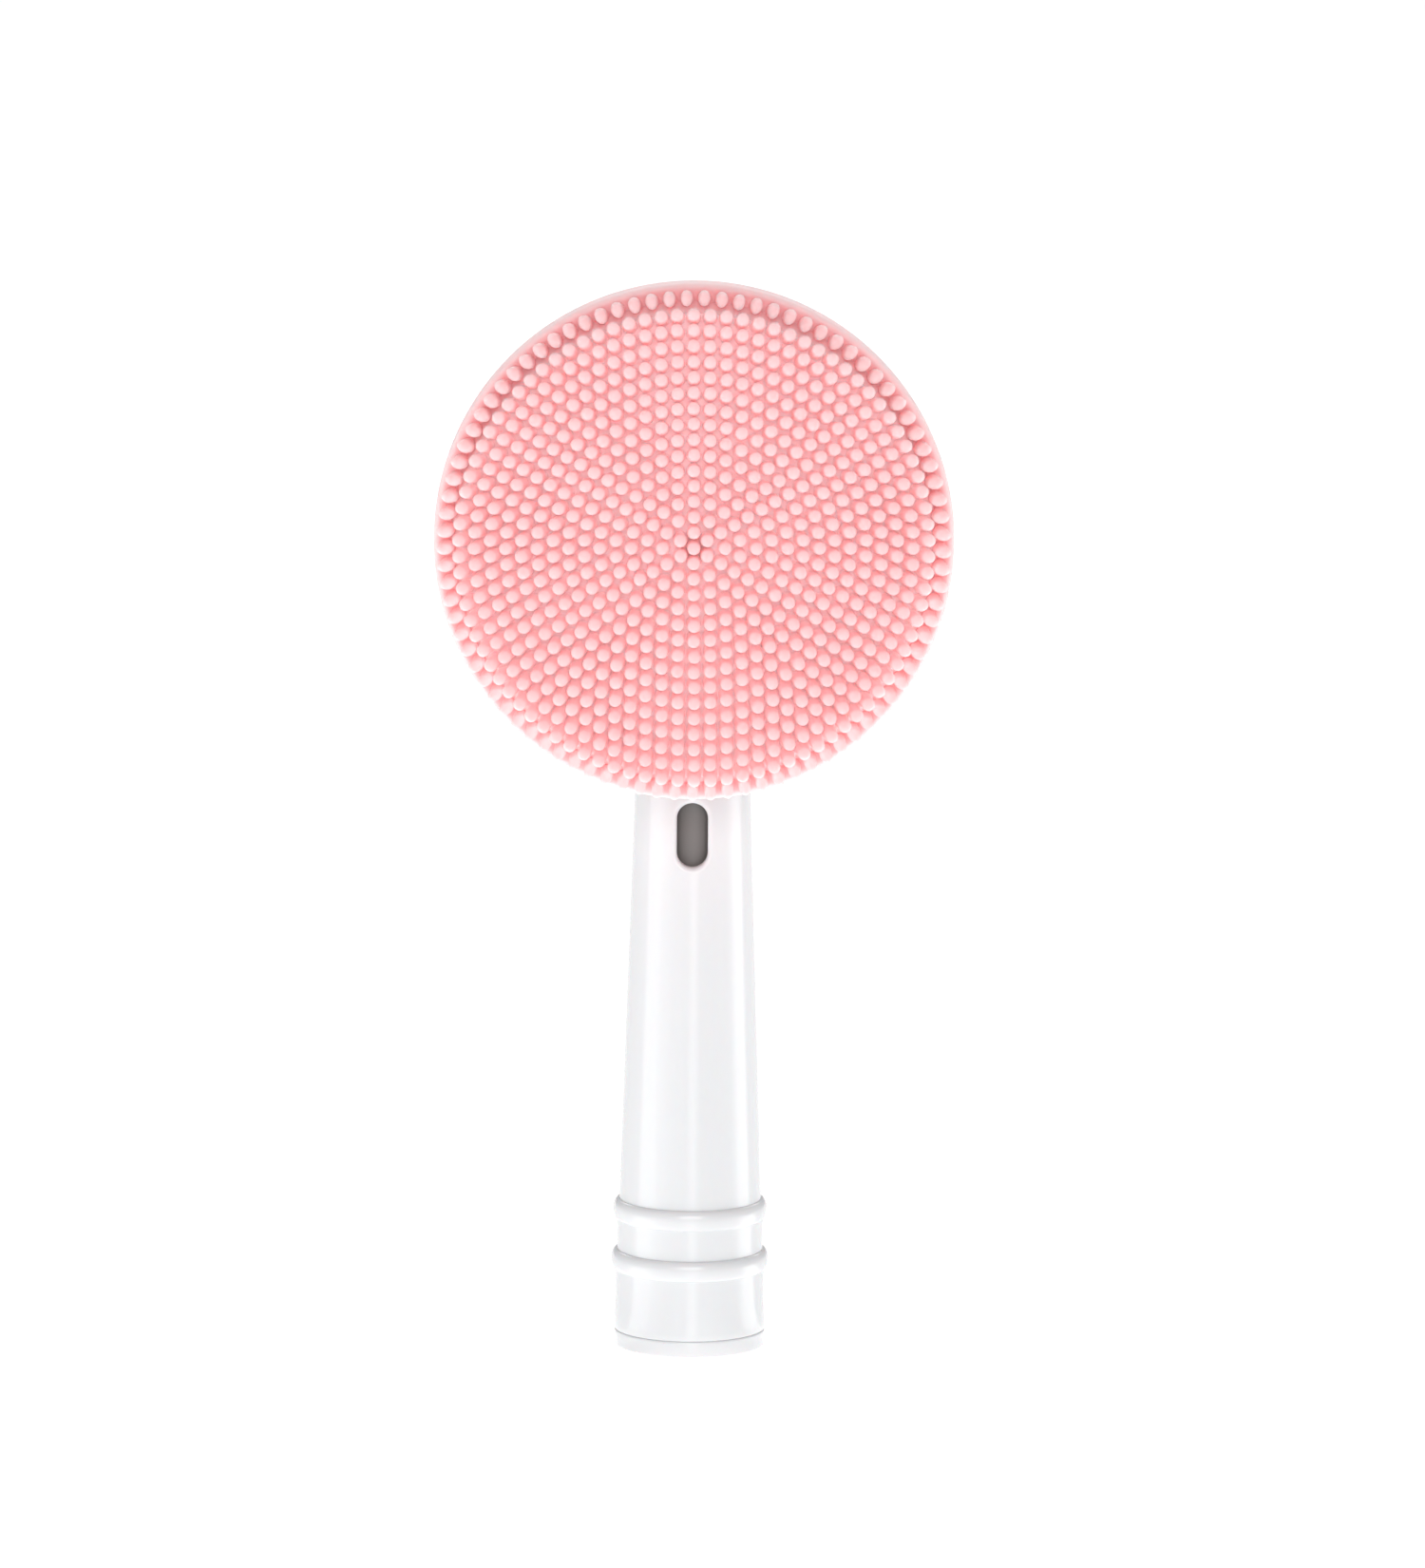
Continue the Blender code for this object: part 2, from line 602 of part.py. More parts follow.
def bristle_ribs():
    """Round ribs on the pad's face, one for each two rings of bristles, from the centre outwards.

    The last two rings have a rib each: one at the face's edge and a lower one on the shoulder.
    """
    points = []
    for pair in range(BRISTLE_RINGS // 2):
        middle = BRISTLE_PITCH * (2 * pair + 1.5)
        inner, outer = middle - RIB_WIDTH / 2, middle + RIB_WIDTH / 2
        points += [(inner, PAD_FACE), (inner, BRISTLE_TIP), (outer, BRISTLE_TIP), (outer, PAD_FACE)]
    points += [
        (LAST_RIB_INNER, PAD_FACE),
        (LAST_RIB_INNER, BRISTLE_TIP),
        (PAD_FACE_RADIUS, BRISTLE_TIP),
        (PAD_FACE_RADIUS, PAD_FACE),
        (PAD_SHOULDER_RADIUS, PAD_SHOULDER),
        (EDGE_RIB_INNER, PAD_SHOULDER),
        (EDGE_RIB_INNER, EDGE_RIB_TIP),
        (EDGE_RIB_OUTER, EDGE_RIB_TIP),
        (EDGE_RIB_OUTER, PAD_SHOULDER),
    ]
    return points


def make_silicone_pad():
    rounding = PAD_EDGE_ROUNDING
    front_edge = PAD_FRONT_RADIUS - rounding
    front_rounding = arc(front_edge, PAD_SHOULDER - rounding, rounding, rounding, 90, 0, 5)
    back_edge = PAD_RADIUS - 1.3 * MM
    back_reach = PAD_WIDEST - PAD_LIP_BACK
    back_rounding = arc(back_edge, PAD_WIDEST, PAD_RADIUS - back_edge, back_reach, -25, -90, 5)
    profile = (
        [(0, PAD_FACE)]
        + bristle_ribs()
        + front_rounding
        + [(PAD_RADIUS, PAD_WIDEST + 0.6 * MM)]
        + back_rounding
        + [
            (PAD_LIP_RADIUS, PAD_LIP_BACK),
            (PAD_LIP_RADIUS, PAD_LIP_FRONT),
            (CORE_RADIUS + GAP, PAD_LIP_FRONT),
            (CORE_RADIUS + GAP, PAD_BACK_FACE),
            (0, PAD_BACK_FACE),
        ]
    )
    return finish_on_pivot(turned("silicone_pad", profile, FINE_STEPS), SILICONE)


make_stem()
make_base_insert()
make_drive_shaft()
make_grip_clip()
make_crank_rod()
make_upper_bush()
make_pivot_pin()
make_thrust_washer()
make_drive_hub()
for index, (screw_x, screw_y) in enumerate(screw_places()):
    make_hub_screw(index + 1, screw_x, screw_y)
make_rear_dish()
make_front_plate()
make_silicone_pad()
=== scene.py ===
"""Looks for the facial cleansing brush head: a pink silicone bristle pad on a white hollow stem.

Lengths are in metres. The pad faces -Y, so its pieces are modelled as (radius, depth), where depth is
the distance in front of the stem's axis.
"""

import json
import math

import bmesh
import bpy
import numpy as np
from mathutils import Matrix, Vector
from mathutils.geometry import delaunay_2d_cdt


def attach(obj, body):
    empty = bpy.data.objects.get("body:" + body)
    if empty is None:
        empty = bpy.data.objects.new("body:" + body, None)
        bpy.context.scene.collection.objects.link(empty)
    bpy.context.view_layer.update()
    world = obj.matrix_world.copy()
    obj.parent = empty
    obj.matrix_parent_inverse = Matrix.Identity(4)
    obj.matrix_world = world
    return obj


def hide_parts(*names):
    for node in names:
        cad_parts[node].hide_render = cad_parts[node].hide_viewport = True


MM = 0.001

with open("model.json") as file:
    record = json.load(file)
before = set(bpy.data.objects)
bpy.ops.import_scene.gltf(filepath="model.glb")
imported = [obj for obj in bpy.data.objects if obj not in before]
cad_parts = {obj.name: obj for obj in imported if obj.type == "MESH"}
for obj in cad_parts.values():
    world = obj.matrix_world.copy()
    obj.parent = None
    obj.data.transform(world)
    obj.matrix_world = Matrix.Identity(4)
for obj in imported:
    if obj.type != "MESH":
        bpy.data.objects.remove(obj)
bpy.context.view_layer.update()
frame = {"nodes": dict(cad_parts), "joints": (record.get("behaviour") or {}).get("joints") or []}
NODES = frame["nodes"]

PIVOT = next(Vector(j["pos_m"]) for j in frame["joints"] if j["name"] == "disc_swing")
TO_DISC = Matrix.Translation(PIVOT) @ Matrix.Rotation(math.radians(90), 4, "X")


# --- node materials ---
def srgb(red, green, blue):
    """A colour given as 0 to 255 sRGB, as the linear values that shaders take."""
    values = [c / 255 for c in (red, green, blue)]
    linear = [c / 12.92 if c <= 0.04045 else ((c + 0.055) / 1.055) ** 2.4 for c in values]
    return (*linear, 1.0)


class Look:
    """A material being built: a Principled shader, with helpers that wire procedural detail to it."""

    def __init__(self, name, roughness, metallic=0.0):
        self.material = bpy.data.materials.new(name)
        self.material.use_nodes = True
        self.nodes = self.material.node_tree.nodes
        self.links = self.material.node_tree.links
        self.shader = self.nodes["Principled BSDF"]
        self.shader.inputs["Roughness"].default_value = roughness
        self.shader.inputs["Metallic"].default_value = metallic
        self.place = self.nodes.new("ShaderNodeTexCoord").outputs["Object"]
        self.bump_out = None

    def noise(self, scale, detail=3.0, stretch=(1, 1, 1)):
        mapping = self.nodes.new("ShaderNodeMapping")
        mapping.inputs["Scale"].default_value = stretch
        self.links.new(self.place, mapping.inputs["Vector"])
        texture = self.nodes.new("ShaderNodeTexNoise")
        texture.inputs["Scale"].default_value = scale
        texture.inputs["Detail"].default_value = detail
        self.links.new(mapping.outputs["Vector"], texture.inputs["Vector"])
        return texture.outputs["Fac"]

    def spread(self, source, low, high, low_from=0.3, high_from=0.7):
        """The source's values from low_from to high_from, spread between low and high."""
        node = self.nodes.new("ShaderNodeMapRange")
        node.inputs["From Min"].default_value = low_from
        node.inputs["From Max"].default_value = high_from
        node.inputs["To Min"].default_value = low
        node.inputs["To Max"].default_value = high
        self.links.new(source, node.inputs["Value"])
        return node.outputs["Result"]

    def colours(self, source, first, second):
        node = self.nodes.new("ShaderNodeMix")
        node.data_type = "RGBA"
        node.inputs["A"].default_value = first
        node.inputs["B"].default_value = second
        self.links.new(source, node.inputs["Factor"])
        return node.outputs["Result"]

    def combine(self, operation, first, second):
        node = self.nodes.new("ShaderNodeMath")
        node.operation = operation
        self.links.new(first, node.inputs[0])
        self.links.new(second, node.inputs[1])
        return node.outputs["Value"]

    def length(self, vector):
        node = self.nodes.new("ShaderNodeVectorMath")
        node.operation = "LENGTH"
        self.links.new(vector, node.inputs[0])
        return node.outputs["Value"]

    def base(self, source):
        self.links.new(source, self.shader.inputs["Base Color"])

    def roughen(self, source, low, high):
        self.links.new(self.spread(source, low, high), self.shader.inputs["Roughness"])

    def bump(self, source, distance):
        node = self.nodes.new("ShaderNodeBump")
        node.inputs["Distance"].default_value = distance
        node.inputs["Strength"].default_value = 1.0
        self.links.new(source, node.inputs["Height"])
        if self.bump_out:
            self.links.new(self.bump_out, node.inputs["Normal"])
        self.bump_out = node.outputs["Normal"]
        self.links.new(self.bump_out, self.shader.inputs["Normal"])


def silicone_look():
    """Translucent pink silicone. Its base colour has painted light: it is paler at the bristles' roots and
    at the rim, as a painted stand-in for light coming through the silicone.
    """
    look = Look("pink_silicone", 0.42)
    clouds = look.noise(90, 2)
    tips = look.colours(clouds, srgb(253, 190, 192), srgb(253, 196, 198))
    place = look.nodes.new("ShaderNodeSeparateXYZ")
    look.links.new(look.place, place.inputs["Vector"])
    # painted light at the roots: the colour turns paler deep between the bristles, to lift the shade that
    # falls there
    deep = look.spread(place.outputs["Y"], 0, 1, -16.1 * MM, -15.0 * MM)
    from_pivot = look.nodes.new("ShaderNodeVectorMath")
    from_pivot.operation = "MULTIPLY_ADD"
    look.links.new(look.place, from_pivot.inputs[0])
    from_pivot.inputs[1].default_value = (1, 0, 1)
    from_pivot.inputs[2].default_value = (0, 0, -PIVOT.z)
    radius = look.length(from_pivot.outputs["Vector"])
    inside = look.spread(radius, 1, 0, 21.2 * MM, 22.6 * MM)
    in_front = look.spread(place.outputs["Y"], 1, 0, -12.0 * MM, -11.0 * MM)
    root = look.combine("MULTIPLY", look.combine("MULTIPLY", deep, in_front), inside)
    # painted light at the rim: the colour turns paler round the pad's edge, standing in for light coming
    # through it
    rim_painted_light = look.spread(radius, 0, 0.4, 22.6 * MM, 23.3 * MM)
    painted_light = look.combine("MAXIMUM", root, rim_painted_light)
    # the pale colour below is painted light, mixed in where the root and rim masks say
    blend = look.nodes.new("ShaderNodeMix")
    blend.data_type = "RGBA"
    look.links.new(painted_light, blend.inputs["Factor"])
    look.links.new(tips, blend.inputs["A"])
    blend.inputs["B"].default_value = srgb(255, 233, 234)
    look.base(blend.outputs["Result"])
    look.shader.inputs["Subsurface Weight"].default_value = 1.0
    look.shader.inputs["Subsurface Radius"].default_value = (1.0, 0.7, 0.65)
    look.shader.inputs["Subsurface Scale"].default_value = 1.4 * MM
    look.shader.inputs["IOR"].default_value = 1.41
    look.shader.inputs["Specular IOR Level"].default_value = 0.1
    grain = look.noise(5200, 2)
    look.roughen(grain, 0.46, 0.56)
    look.bump(grain, 0.006 * MM)
    return look.material


def white_plastic_look():
    look = Look("gloss_white_plastic", 0.17)
    tone = look.noise(900, 2)
    look.base(look.colours(tone, srgb(215, 216, 218), srgb(217, 218, 220)))
    look.shader.inputs["IOR"].default_value = 1.53
    look.shader.inputs["Subsurface Weight"].default_value = 0.12
    look.shader.inputs["Subsurface Scale"].default_value = 1.0 * MM
    ripple = look.noise(220, 2)
    look.roughen(ripple, 0.15, 0.19)
    look.bump(ripple, 0.0006 * MM)
    look.bump(look.noise(6000, 2), 0.0005 * MM)
    return look.material


def satin_white_look():
    look = Look("satin_white_plastic", 0.34)
    tone = look.noise(60, 2)
    look.base(look.colours(tone, srgb(223, 224, 226), srgb(227, 228, 230)))
    look.shader.inputs["IOR"].default_value = 1.5
    grain = look.noise(4200, 3)
    look.roughen(grain, 0.3, 0.4)
    look.bump(grain, 0.004 * MM)
    return look.material


def acetal_look(name, first, second, roughness):
    look = Look(name, roughness)
    tone = look.noise(300, 3)
    look.base(look.colours(tone, first, second))
    look.shader.inputs["IOR"].default_value = 1.48
    grain = look.noise(3600, 3)
    look.roughen(grain, roughness - 0.05, roughness + 0.06)
    look.bump(grain, 0.005 * MM)
    return look.material


def steel_look():
    look = Look("drawn_steel", 0.25, 1.0)
    drawn = look.noise(900, 3, (1, 1, 0.06))
    look.base(look.colours(drawn, (0.55, 0.55, 0.57, 1), (0.68, 0.68, 0.69, 1)))
    look.roughen(drawn, 0.2, 0.34)
    look.bump(drawn, 0.002 * MM)
    return look.material


SILICONE = silicone_look()
WHITE = white_plastic_look()
SATIN = satin_white_look()
GREY = acetal_look("grey_acetal", srgb(106, 103, 101), srgb(114, 111, 109), 0.36)
NATURAL = acetal_look("natural_acetal", srgb(228, 228, 224), srgb(234, 234, 230), 0.34)
STEEL = steel_look()


# --- mesh helpers ---
def arc(centre_r, centre_z, reach_r, reach_z, start, end, count):
    """Points (r, z) on an ellipse's arc, from start to end degrees."""
    angles = [math.radians(start + (end - start) * i / (count - 1)) for i in range(count)]
    return [(centre_r + reach_r * math.cos(a), centre_z + reach_z * math.sin(a)) for a in angles]


def rounded(points, radius, count=4):
    """The open outline with each inner corner turned into a curve, where its sides leave room."""
    done = [points[0]]
    for before, corner, after in zip(points, points[1:], points[2:]):
        before, corner, after = Vector(before), Vector(corner), Vector(after)
        to_before, to_after = before - corner, after - corner
        reach = min(radius, 0.45 * to_before.length, 0.45 * to_after.length)
        start, end = corner + to_before.normalized() * reach, corner + to_after.normalized() * reach
        for i in range(count + 1):
            share = i / count
            done.append(tuple(start.lerp(corner, share).lerp(corner.lerp(end, share), share)))
    return done + [points[-1]]


def divided(points, longest):
    """The outline with each side cut into pieces no longer than this."""
    done = []
    for (r1, z1), (r2, z2) in zip(points, points[1:]):
        count = max(1, math.ceil(math.hypot(r2 - r1, z2 - z1) / longest))
        done += [(r1 + (r2 - r1) * i / count, z1 + (z2 - z1) * i / count) for i in range(count)]
    return done + [points[-1]]


def link(obj):
    bpy.context.scene.collection.objects.link(obj)
    return obj


def turned(name, profile, steps=128, ring=False, twist=0.0):
    """A profile of (r, z) points turned about Z; a ring's profile closes on itself."""
    bm = bmesh.new()
    angles = [twist + 2 * math.pi * i / steps for i in range(steps)]
    loops = []
    for r, z in profile:
        if r < 1e-8:
            loops.append([bm.verts.new((0, 0, z))] * steps)
        else:
            loops.append([bm.verts.new((r * math.cos(a), r * math.sin(a), z)) for a in angles])
    for upper, lower in zip(loops, loops[1:] + (loops[:1] if ring else [])):
        for i in range(steps):
            j = (i + 1) % steps
            corners = list(dict.fromkeys((upper[i], upper[j], lower[j], lower[i])))
            if len(corners) > 2:
                bm.faces.new(corners)
    bmesh.ops.recalc_face_normals(bm, faces=bm.faces)
    mesh = bpy.data.meshes.new(name)
    bm.to_mesh(mesh)
    bm.free()
    return link(bpy.data.objects.new(name, mesh))


def prism(name, loops):
    """A closed body through loops of (x, y, z) points, each with as many points as the next."""
    bm = bmesh.new()
    rows = [[bm.verts.new(point) for point in loop] for loop in loops]
    for upper, lower in zip(rows, rows[1:]):
        for i in range(len(upper)):
            j = (i + 1) % len(upper)
            bm.faces.new((upper[i], upper[j], lower[j], lower[i]))
    bm.faces.new(rows[0])
    bm.faces.new(reversed(rows[-1]))
    bmesh.ops.recalc_face_normals(bm, faces=bm.faces)
    mesh = bpy.data.meshes.new(name)
    bm.to_mesh(mesh)
    bm.free()
    return link(bpy.data.objects.new(name, mesh))


def block(name, low, high):
    corners = [(low[0], low[1]), (high[0], low[1]), (high[0], high[1]), (low[0], high[1])]
    return prism(name, [[(x, y, z) for x, y in corners] for z in (low[2], high[2])])


def change(target, helper, operation):
    """Cuts helper from target or joins it to target for good, and removes helper."""
    boolean = target.modifiers.new("change", "BOOLEAN")
    boolean.object = helper
    boolean.operation = operation
    boolean.solver = "MANIFOLD"
    bpy.context.view_layer.update()
    graph = bpy.context.evaluated_depsgraph_get()
    mesh = bpy.data.meshes.new_from_object(target.evaluated_get(graph))
    target.modifiers.clear()
    target.data = mesh
    mesh.name = target.name
    bpy.data.objects.remove(helper)


def on_pivot(obj):
    """Turns a piece modelled with its depth along Z so that it faces -Y, about the disc's pivot."""
    obj.data.transform(TO_DISC)
    return obj


def shade_smooth(obj, sharp_over=35):
    obj.data.shade_smooth()
    obj.data.set_sharp_from_angle(angle=math.radians(sharp_over))


def paint(obj, material):
    obj.data.materials.clear()
    obj.data.materials.append(material)


def finish_piece(obj, material, body, node, sharp_over=35):
    shade_smooth(obj, sharp_over)
    paint(obj, material)
    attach(obj, body)
    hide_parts(node)


# --- the bristle pad ---
PAD_RADIUS = 23.4 * MM
PAD_WIDEST = 10.25 * MM
PAD_BACK = 8.0 * MM
FACE = 14.6 * MM  # depth between the bristles
SHOULDER = 12.4 * MM  # depth around the edge, where the outermost bristles stand
FALL_START, FALL_WIDTH = 20.9 * MM, 0.9 * MM  # where the face falls to the shoulder
FACE_EDGE = 22.85 * MM
TIP = 16.5 * MM
RINGS = 16
TIP_PITCH = 1.41 * MM
ROOT_PITCH = 1.37 * MM
RING_START = 90.37  # degrees; where each ring's first bristle stands
TIP_SCATTER, DEPTH_SCATTER = 0.018 * MM, 0.015 * MM
EDGE_COUNT = 89  # bristles in the outermost ring
EDGE_ROOT, EDGE_TOP, EDGE_TIP = 22.1 * MM, 22.4 * MM, 15.2 * MM
EDGE_STRETCH = (1.02, 1.25, 0.92)  # their size outwards at root and top, and along the ring
BRISTLE_SIDES = 12
RIM_STEPS = 180
ROOT_RADIUS = 0.675 * MM
# a bristle above its root: share of its height, radius
BRISTLE_PROFILE = [(0.28, 0.66), (0.56, 0.62), (0.86, 0.585)]
DOME_TURNS = (30, 55, 75)


def face_depth(radius):
    """Depth of the pad's surface between bristles: flat, then falling to the shoulder at the edge."""
    share = min(1.0, max(0.0, (radius - FALL_START) / FALL_WIDTH))
    return FACE + (SHOULDER - FACE) * share * share * (3 - 2 * share)


def bristle_levels():
    """(share of the height, radius) of each loop of a bristle above its root, without the tip point."""
    levels = [(share, radius * MM) for share, radius in BRISTLE_PROFILE]
    start, radius = levels[-1]
    for turn in map(math.radians, DOME_TURNS):
        levels.append((start + (1 - start) * math.sin(turn), radius * math.cos(turn)))
    return levels


def bristle_places():
    """(root, top, tip's depth, outward axis, sideways axis, growth of the outward axis up the bristle) of
    each bristle in the disc's plane: one in the centre, rings of 6, 12, 18 and so on, and a last ring
    with as many as the edge has room for."""
    places = [(Vector((0, 0)), Vector((0, 0)), TIP, Vector((1, 0)), Vector((0, 1)), 0)]

    def add_ring(count, first_turn, root, top, tip, stretch):
        for i in range(count):
            turn = math.radians(first_turn + 360 * i / count)
            out, side = Vector((math.cos(turn), math.sin(turn))), Vector((-math.sin(turn), math.cos(turn)))
            growth = stretch[1] / stretch[0] - 1
            places.append((out * root, out * top, tip, out * stretch[0], side * stretch[2], growth))

    for ring in range(1, RINGS):
        add_ring(6 * ring, RING_START, ring * ROOT_PITCH, ring * TIP_PITCH, TIP, (1, 1, 1))
    add_ring(EDGE_COUNT, 90 + 180 / EDGE_COUNT, EDGE_ROOT, EDGE_TOP, EDGE_TIP, EDGE_STRETCH)
    return places


def rim_profile():
    """The pad's outside from the edge of its face round to the lip behind the dish, and into its groove."""
    front = arc(FACE_EDGE, SHOULDER - 0.5 * MM, 0.5 * MM, 0.5 * MM, 90, 8, 9)[1:]
    side = [(23.38 * MM, 11.3 * MM)]
    edge = PAD_RADIUS - 1.3 * MM
    back = arc(edge, PAD_WIDEST, PAD_RADIUS - edge, PAD_WIDEST - PAD_BACK, 0, -90, 14)
    lip = arc(20.3 * MM, PAD_BACK + 0.2 * MM, 0.2 * MM, 0.2 * MM, 270, 180, 4)
    groove = [(20.1 * MM, 9.1 * MM), (21.8 * MM, 9.1 * MM), (21.8 * MM, 11.0 * MM)]
    return front + side + back + lip + groove


def make_bristle_pad():
    rng = np.random.default_rng(5)
    levels = bristle_levels()
    turns = [2 * math.pi * i / BRISTLE_SIDES for i in range(BRISTLE_SIDES)]
    unit = [Vector((math.cos(a), math.sin(a))) for a in turns]
    bm = bmesh.new()
    flat, owners, edges = [], [], []

    for number, (root, _, _, out, side, _) in enumerate(bristle_places()):
        first = len(flat)
        flat += [root + (out * u.x + side * u.y) * ROOT_RADIUS for u in unit]
        owners += [number] * BRISTLE_SIDES
        edges += [(first + i, first + (i + 1) % BRISTLE_SIDES) for i in range(BRISTLE_SIDES)]
    first = len(flat)
    rim_turns = [2 * math.pi * i / RIM_STEPS for i in range(RIM_STEPS)]
    flat += [Vector((math.cos(a), math.sin(a))) * FACE_EDGE for a in rim_turns]
    owners += [-1] * RIM_STEPS
    edges += [(first + i, first + (i + 1) % RIM_STEPS) for i in range(RIM_STEPS)]

    points, _, faces, sources, _, _ = delaunay_2d_cdt(flat, edges, [], 0, 1e-9)
    face_verts = [bm.verts.new((p.x, p.y, face_depth(p.length))) for p in points]
    at = {}
    for index, source in enumerate(sources):
        for original in source:
            at[original] = face_verts[index]
    owner_of = {at[i]: owners[i] for i in range(len(flat))}
    for face in faces:
        corners = [face_verts[i] for i in face]
        around = {owner_of[v] for v in corners}
        if len(around) > 1 or -1 in around:
            bm.faces.new(corners)

    def bridge(lower, upper):
        for i in range(len(lower)):
            j = (i + 1) % len(lower)
            bm.faces.new((lower[i], lower[j], upper[j], upper[i]))

    for number, (root, top, tip, out, side, growth) in enumerate(bristle_places()):
        lean = (top - root) + Vector(rng.normal(0, TIP_SCATTER, 2))
        top_depth = tip + rng.normal(0, DEPTH_SCATTER) - 0.02 * MM
        loop = [at[number * BRISTLE_SIDES + i] for i in range(BRISTLE_SIDES)]
        feet = [v.co.z for v in loop]
        for share, radius in levels:
            centre = root + lean * share**1.3
            ring = []
            for u, foot in zip(unit, feet):
                x, y = centre + (out * u.x * (1 + growth * share) + side * u.y) * radius
                ring.append(bm.verts.new((x, y, foot + (top_depth - foot) * share)))
            bridge(loop, ring)
            loop = ring
        point = bm.verts.new((*(root + lean), top_depth))
        for i in range(BRISTLE_SIDES):
            bm.faces.new((loop[i], loop[(i + 1) % BRISTLE_SIDES], point))

    loop = [at[first + i] for i in range(RIM_STEPS)]
    for radius, depth in rim_profile():
        ring = [bm.verts.new((radius * math.cos(a), radius * math.sin(a), depth)) for a in rim_turns]
        bridge(ring, loop)
        loop = ring
    bm.faces.new(reversed(loop))
    bm.normal_update()
    mesh = bpy.data.meshes.new("bristle_pad")
    bm.to_mesh(mesh)
    bm.free()
    pad = on_pivot(link(bpy.data.objects.new("bristle_pad", mesh)))
    finish_piece(pad, SILICONE, "disc", "silicone_pad", sharp_over=50)


make_bristle_pad()

# --- stem ---
FOOT_RADIUS = 7.0 * MM
TUBE_FOOT = 1.55 * MM
LOWER_BEAD_Z, UPPER_BEAD_Z = 8.0 * MM, 12.7 * MM
BEAD_HALF_HEIGHT = 0.95 * MM
COLLAR_RADIUS, GROOVE_RADIUS = 6.8 * MM, 6.68 * MM
NECK_FOOT_RADIUS = 6.5 * MM
NECK_TAPER = 0.0315
WALL = 1.1 * MM
SOCKET_WALL_RADIUS, SOCKET_TOP = 5.85 * MM, 15.0 * MM
WINDOW_LOW, WINDOW_HIGH, WINDOW_WIDTH = 45.2 * MM, 51.1 * MM, 2.8 * MM
CUP_RADIUS, CUP_BACK, CUP_FRONT, CUP_ROUNDING = 6.5 * MM, -5.2 * MM, 4.9 * MM, 2.2 * MM
POCKET_RADIUS, POCKET_FLOOR = 5.4 * MM, -1.6 * MM
PIN_RADIUS = 0.75 * MM
RUNNING = 0.2 * MM
NECK_END = PIVOT.z - 2.6 * MM  # inside the cup
BORE_TOP = PIVOT.z - 3.5 * MM
FILLET = 6.0 * MM  # between the neck's sides and the cup
# how far the window's cutter widens, against its height over the neck's surface
WINDOW_EDGE = [
    (0, -0.45 * MM), (0.035 * MM, -0.27 * MM), (0.13 * MM, -0.13 * MM), (0.28 * MM, -0.035 * MM),
    (0.46 * MM, 0.012 * MM), (0.9 * MM, 0.6 * MM),
]


def neck_radius(z):
    return NECK_FOOT_RADIUS - NECK_TAPER * (z - UPPER_BEAD_Z - BEAD_HALF_HEIGHT)


def bead(z, radius_above, radius_below, bead_radius):
    """A rounded bead's profile, from its upper crease to its lower one."""
    points = []
    for reach, height in arc(0, 0, 1, 1, 90, -90, 19):
        base = radius_below + (radius_above - radius_below) * (height + 1) / 2
        points.append((base + (bead_radius - base) * reach, z + BEAD_HALF_HEIGHT * height))
    return points


def flare_neck(obj):
    """Widens the top of the neck sideways until it runs into the cup."""
    side = neck_radius(PIVOT.z - 6 * MM)
    centre_x = side + FILLET
    start = PIVOT.z - math.sqrt((CUP_RADIUS + FILLET) ** 2 - centre_x**2)
    for vertex in obj.data.vertices:
        rise = min(vertex.co.z - start, 0.52 * FILLET)
        if rise > 0:
            vertex.co.x *= (centre_x - math.sqrt(FILLET**2 - rise**2)) / side


def window_cutter():
    """An upright slot with round ends. It widens where it meets the neck, so that its edge is round."""
    half = WINDOW_WIDTH / 2
    outline = [(x, z, math.atan2(z - WINDOW_HIGH + half, x)) for x, z in
               arc(0, WINDOW_HIGH - half, half, half, 0, 180, 25)]
    outline += [(x, z, math.atan2(z - WINDOW_LOW - half, x)) for x, z in
                arc(0, WINDOW_LOW + half, half, half, 180, 360, 25)]
    loops = [[(x, -2.2 * MM, z) for x, z, _ in outline]]
    for reach, past_surface in WINDOW_EDGE:
        loop = []
        for x, z, out in outline:
            x, z = x + reach * math.cos(out), z + reach * math.sin(out)
            loop.append((x, -(math.sqrt(neck_radius(z) ** 2 - x * x) + past_surface), z))
        loops.append(loop)
    loops.append([(x, -8 * MM, z) for x, _, z in loops[-1]])
    return prism("window_cutter", loops)


